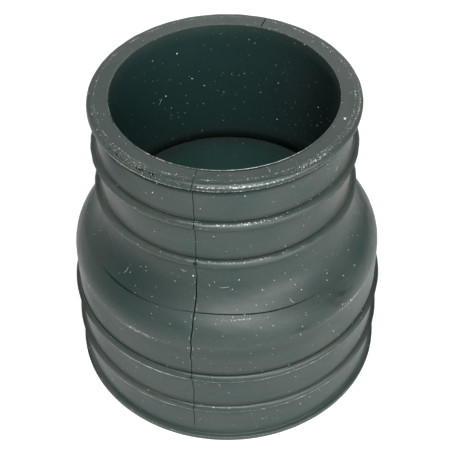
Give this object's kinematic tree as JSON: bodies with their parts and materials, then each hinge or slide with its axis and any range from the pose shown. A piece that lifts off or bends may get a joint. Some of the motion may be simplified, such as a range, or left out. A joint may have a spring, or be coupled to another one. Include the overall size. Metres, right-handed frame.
{
  "type": "rubber bellows",
  "caption": "Moulded rubber reducing sleeve: a small ribbed cuff flares through a domed shoulder into a wider ribbed cuff, open from end to end.",
  "frame": {"origin": "on the bore's axis, at the large end's face", "axes": "+Z along the bore, from the large end to the small end; the part is turned about it"},
  "size_m": [0.0998, 0.0998, 0.1024],
  "materials": {
    "moulded_rubber": "matte moulded grey-green rubber with light dust and worn edges"
  },
  "bodies": {
    "root": {"bellows": "moulded_rubber"}
  },
  "joints": []
}
